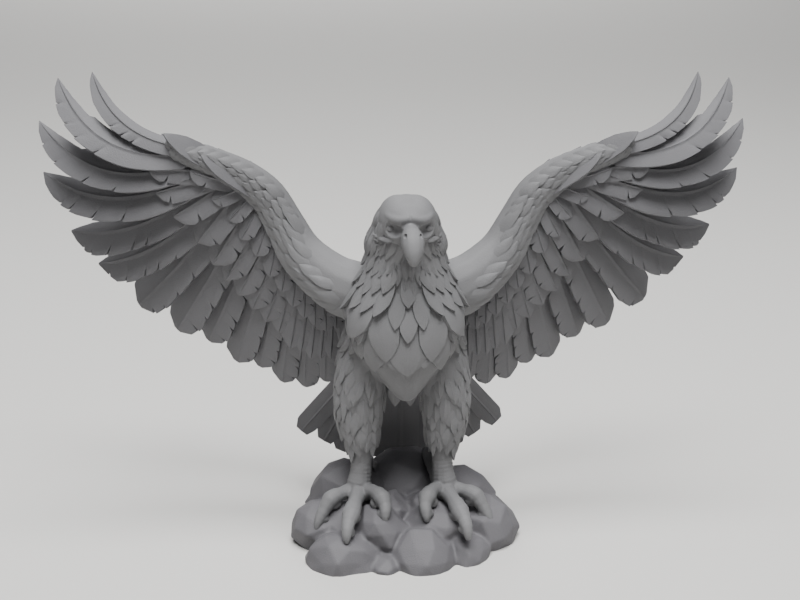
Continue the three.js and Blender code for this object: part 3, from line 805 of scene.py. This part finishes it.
# ---- Wings ----
# Fifteen flight feathers fan from each arm, slim separate fingers at the top and rounded
# vanes below, under fans and rows of coverts. Each outer feather laps over the next.
# flights as root x, y, z, tip x, y, z, width, bow towards the trailing side
FLIGHTS = (
    (88, 10, 169.5, 126.6, 25, 198.4, 10.5, 9.2), (86, 11, 167, 140.8, 27, 195.6, 14, 13.5),
    (84, 12, 164.5, 150.2, 33, 176.8, 16, 14), (80, 13, 162, 150, 35, 154.6, 20.5, 12.5),
    (76, 14, 159, 139.8, 36, 128.8, 18.5, 9), (72, 15, 156, 129, 36, 114, 18.5, 8),
    (67, 15, 153, 112.4, 35, 95.6, 19, 2.5), (62, 15, 148, 96.2, 35, 83.8, 18, 1.5),
    (57, 15, 142, 82.6, 34, 78.7, 16.5, 1), (52.5, 15, 134, 70.6, 33, 69.2, 15.5, 1),
    (48.5, 14, 126, 60.4, 31, 67.2, 14, 0.8), (43, 13, 119, 50.6, 29, 60.6, 13.5, 0.6),
    (38, 12, 114.5, 40.8, 25, 59.6, 13, 0.5), (32, 10.5, 111.5, 31.8, 19, 64, 12.5, 0.4),
    (27, 9, 109.5, 24, 14, 67.5, 12, 0.3),
)
FLIGHT_TILT = 0.46
# coverts as root x, z, tip x, y, z, width
FAN = (
    (84, 160, 104.6, 9.4, 163, 12.5), (80, 158, 101.8, 10.4, 151, 13.5), (76, 153, 95, 12, 140.4, 15.5),
    (71, 148, 85.4, 14.6, 128.6, 16), (66, 142, 79.4, 16.6, 118.4, 15),
    (61, 136, 74, 18, 111.2, 13.5),
)
GREATER = (
    (57, 129, 68.8, 18.8, 104, 12.5), (54, 122, 63, 19.2, 97.6, 12), (50, 116, 57.4, 19.2, 91.8, 11),
    (46.5, 111, 52, 18.8, 86.8, 10.2), (43.5, 106, 47, 18, 79.8, 10.2),
    (39.6, 103, 42.4, 16.6, 78.6, 9.2), (36, 101, 38.2, 15.4, 76, 9), (32.4, 100, 34, 13.8, 76.6, 8.4),
    (29, 100, 29.8, 11.8, 77, 8),
)
MEDIAN = (
    (71, 155.5, 87.4, 7.6, 160.2, 9), (68, 152.5, 78.6, 9.2, 148, 9), (64.5, 148, 72, 10.4, 139, 9),
    (61, 143, 67.2, 11.2, 130.6, 9), (57, 136, 61, 11.4, 123.2, 9.2), (53, 129, 55.6, 11.6, 114, 9),
    (48.6, 122, 50.6, 11.2, 107.4, 8.6), (45, 115, 46, 10.8, 101, 8.4), (41, 111, 41.2, 10.2, 96, 8.2),
    (37, 108, 36.6, 9.4, 92.4, 7.8), (32.6, 106, 32, 8.4, 90.4, 7.6), (28.4, 106, 27.6, 7.4, 92, 7.2),
)
COVERT_TILT = 0.3
HIDDEN_ROOT, ROOT_DEPTH = 0.4, 12.5
WRIST = (
    (73, 11, 160, 97.4, 5.6, 176.4, 9), (60, 10, 151, 82.5, 5.4, 167.4, 8.5),
    (66, 17, 160, 98.6, 13.5, 175, 9), (55, 18, 152, 76, 17.5, 168, 9),
    (47, 18, 141, 63, 18.5, 162.5, 9), (42, 17, 130, 50.5, 19, 150.5, 9),
)
# rows behind the wing as count, first and last flight, reach down them, width
BACK_COVERTS = ((13, 2.8, 13.6, 0.5, 14), (12, 3.4, 13.4, 0.3, 12))
BACK_TILT, BACK_STAND_OFF, ROW_STAND_OFF = 0.16, 3, 1.6
CORE_BACK, CORE_SHARE = 3, 0.55
# the wings and the tail take a darker copy of the bird's resin: painted shade for the shadow they stand in
# under the overhead light
WING_PAINTED_SHADE_TONE = (0.132, 0.131, 0.138)


def flight_line(spot):
    """Root and tip of the flight at this place in the row; between two it is part way."""
    table = [row[:6] for row in FLIGHTS]
    k = min(int(spot), len(table) - 2)
    a, b = Vector(table[k][:3]), Vector(table[k][3:])
    c, d = Vector(table[k + 1][:3]), Vector(table[k + 1][3:])
    return a.lerp(c, spot - k), b.lerp(d, spot - k)


TOWARDS_VIEWER = (0, -1, 0)
wing = []
for k, (x0, y0, z0, x1, y1, z1, width, bow) in enumerate(FLIGHTS):
    kinds = (blade,) if k == 0 else fingers if k < 4 else oars if k < 6 else vanes
    wing.append(laid(kinds[k % len(kinds)], (x0, y0, z0), (x1, y1, z1), width, TOWARDS_VIEWER,
                     tilt=FLIGHT_TILT, bow=bow, belly=1.5))
for table, kinds in ((FAN, ovals), (GREATER, roofs), (MEDIAN, ovals)):
    for k, (x0, z0, x1, y1, z1, width) in enumerate(table):
        tip = Vector((x1, y1, z1))
        root = tip + (Vector((x0, y1, z0)) - tip) * (1 + HIDDEN_ROOT)
        root.y = ROOT_DEPTH
        wing.append(laid(kinds[k % 2], root, tip, width, TOWARDS_VIEWER, tilt=COVERT_TILT, bow=0.6,
                         belly=1.0))
for x0, y0, z0, x1, y1, z1, width in WRIST:
    front = -1 if y0 < 14 else 0.2
    wing.append(laid(plate, (x0, y0, z0), (x1, y1, z1), width, (-0.25, front, 0.5), belly=1.2))
for row, (count, first, last, reach, width) in enumerate(BACK_COVERTS):
    for k in range(count):
        root, tip = flight_line(first + (last - first) * k / (count - 1))
        tip = root.lerp(tip, reach)
        off = Vector((0, BACK_STAND_OFF + ROW_STAND_OFF * row, 0))
        wing.append(laid(ovals[k % 2], root + off, tip + off, width, (0, 1, 0), tilt=BACK_TILT,
                         belly=0.8))
core = rod([(x, y + CORE_BACK, z, thick * CORE_SHARE) for x, y, z, thick in ARM[1:]], steps=30)
left_wing = covered_with(core, wing)
right_wing = other_side(left_wing)
# this darker resin is painted shade, shared by both wings and the tail
painted_shade_wing_resin = resin("painted_shade_wing_resin", WING_PAINTED_SHADE_TONE, BIRD_GRAIN)
hand_over(left_wing, "wing_left", painted_shade_wing_resin, 38)
hand_over(right_wing, "wing_right", painted_shade_wing_resin, 38)

# ---- Tail ----
# Nine straight, blunt tail feathers spread behind the rock, the middle ones the broadest.
# tips as x, y, z and width, from the middle feather outwards
TAIL = ((0, 55.4, 12.5, 17), (14.5, 56.6, 13, 16), (26.5, 55.4, 16.2, 13.5), (35.4, 53, 23, 11.5),
        (45.8, 51, 29.4, 10.5))
TAIL_ROOT = (0, 23, 80)
TAIL_TWIST, TAIL_SHIFT = radians(1.8), 2.5
# roots spread and step back with the tip's distance, and each feather turns and arches a little
ROOT_SPREAD, ROOT_STEP, MOST_STEP, TAIL_TURN, TAIL_ARCH = 0.2, 0.12, 2, 0.004, -2


def tail_feather(x, y, z, width):
    """One straight tail feather by its tip and width."""
    root = Vector(TAIL_ROOT) + Vector((x * ROOT_SPREAD, min(MOST_STEP, x * ROOT_STEP), 0))
    return laid(blunt, root, (x, y, z), width, TOWARDS_VIEWER, tilt=TAIL_TURN * x,
                belly=TAIL_ARCH)


middle = tail_feather(*TAIL[0])
fan = [tail_feather(*sizes) for sizes in TAIL[1:]]
fan += [opposite(feather) for feather in fan]
bpy.context.scene.collection.objects.link(middle)
tail = covered_with(middle, fan)
hinge = Matrix.Translation(mm(*TAIL_ROOT))
tail.data.transform(Matrix.Translation(mm(TAIL_SHIFT, 0, 0)) @ hinge
                    @ Matrix.Rotation(-TAIL_TWIST, 4, "Y") @ hinge.inverted())
# the tail wears the wings' darker resin, painted shade for its shadow
hand_over(tail, "tail", painted_shade_wing_resin, 38)
for kind in [blade, *fingers, *oars, *vanes, blunt, *ovals, *roofs, leaf, plate, scale]:
    bpy.data.meshes.remove(kind.data)

# ---- Table, light and camera ----
# A pale plain table that runs out of sight, one wide soft light overhead with a weaker one
# in front, and a camera a little above the wings.
TABLE_TONE, ROOM_TONE, ROOM_LIGHT = (0.56, 0.553, 0.535), (0.9, 0.91, 0.93), 0.09
CAMERA_BACK, CAMERA_HEIGHT, LENS, SENSOR = 0.600, 0.290, 67.5, 36
CAMERA_SIDE, CAMERA_TURN = radians(5.5), radians(5.368)
CAMERA_DROP, CAMERA_ROLL = radians(17.0), radians(0.75)
bpy.ops.object.select_all(action="DESELECT")
bpy.ops.mesh.primitive_plane_add(size=12)
table = bpy.context.object
table.name = "table"
pale = bpy.data.materials.new("pale_table")
pale.use_nodes = True
paper = pale.node_tree.nodes["Principled BSDF"]
paper.inputs["Base Color"].default_value = (*TABLE_TONE, 1)
paper.inputs["Roughness"].default_value = 0.85
table.data.materials.append(pale)

world = bpy.data.worlds.new("room")
bpy.context.scene.world = world
world.use_nodes = True
sky = world.node_tree.nodes["Background"]
sky.inputs["Color"].default_value = (*ROOM_TONE, 1)
sky.inputs["Strength"].default_value = ROOM_LIGHT


def soft_light(name, place, target, size, power, spread=180):
    """A square soft lamp aimed at a target."""
    bpy.ops.object.light_add(type="AREA", location=place)
    lamp = bpy.context.object
    lamp.name = name
    lamp.data.size = size
    lamp.data.energy = power
    lamp.data.spread = radians(spread)
    lamp.rotation_euler = (Vector(target) - Vector(place)).to_track_quat("-Z", "Y").to_euler()


soft_light("overhead", (0, -0.42, 1.7), (0, 0, 0.05), 1.2, 31, spread=110)
soft_light("front", (0.2, -2.2, 1.4), (0, 0, 0.1), 1.4, 4)
soft_light("backdrop", (0, 3.0, 1.8), (0, 3.0, 0), 1.6, 60)

spot = Vector((-CAMERA_BACK * sin(CAMERA_SIDE), -CAMERA_BACK * cos(CAMERA_SIDE), CAMERA_HEIGHT))
look = Vector((sin(CAMERA_TURN) * cos(CAMERA_DROP), cos(CAMERA_TURN) * cos(CAMERA_DROP),
               -sin(CAMERA_DROP)))
right = Vector((cos(CAMERA_TURN), -sin(CAMERA_TURN), 0))
up = right.cross(look)
rolled_right = right * cos(CAMERA_ROLL) + up * sin(CAMERA_ROLL)
rolled_up = up * cos(CAMERA_ROLL) - right * sin(CAMERA_ROLL)
bpy.ops.object.camera_add(location=spot)
camera = bpy.context.object
camera.matrix_world = Matrix.Translation(spot) @ Matrix(
    (rolled_right, rolled_up, -look)).transposed().to_4x4()
camera.data.lens = LENS
camera.data.sensor_width = SENSOR
bpy.context.scene.camera = camera
